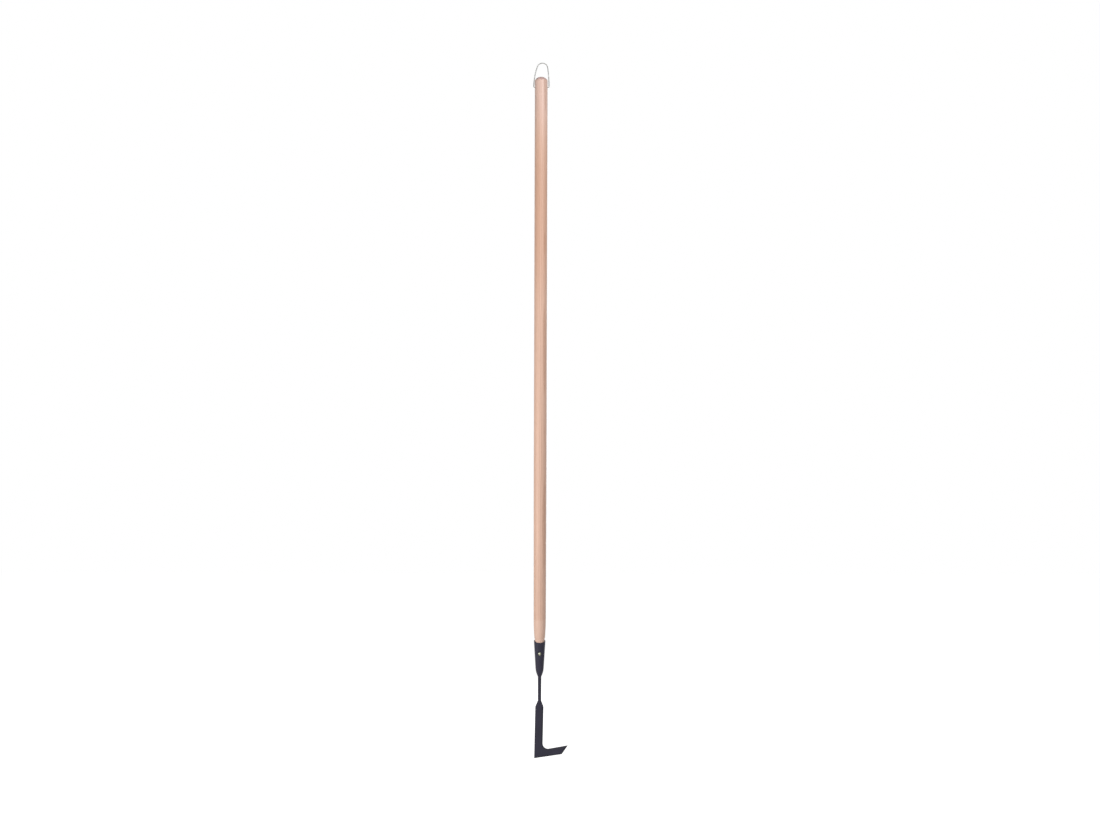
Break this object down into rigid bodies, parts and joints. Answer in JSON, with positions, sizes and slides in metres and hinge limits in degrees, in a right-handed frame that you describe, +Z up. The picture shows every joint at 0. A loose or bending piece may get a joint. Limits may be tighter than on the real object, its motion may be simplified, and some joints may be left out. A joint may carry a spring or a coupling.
{
  "type": "patio knife",
  "caption": "Long-handled patio knife: domed wooden handle with a wire hanging loop, rolled steel socket, round shank and hooked bevelled blade for the joints of paving.",
  "frame": {"origin": "where the handle's axis meets the underside of the hanging loop, which the hook touches", "axes": "+Z up the handle, +X the way the blade's foot points, -Y towards the front, where the socket's screw is"},
  "size_m": [0.0859, 0.03, 1.6394],
  "materials": {
    "ash_wood": "sanded ash, clear lacquer, straight grain",
    "coated_steel": "thin dark grey powder coat, semi-matt",
    "yellow_zinc": "steel screw with a yellow zinc plating",
    "zinc_wire": "bright zinc-plated steel wire"
  },
  "bodies": {
    "tool": {"handle": "ash_wood", "socket": "coated_steel", "socket_screw": "yellow_zinc", "socket_weld": "coated_steel", "shank": "coated_steel", "blade": "coated_steel", "blade_weld": "coated_steel"},
    "loop": {"hanging_loop": "zinc_wire"}
  },
  "joints": [
    {"name": "loop_swing", "type": "hinge", "parent": "tool", "child": "loop", "pos_m": [0, 0, -0.0556], "axis": [1, 0, 0], "range_deg": [-163, 163]}
  ]
}
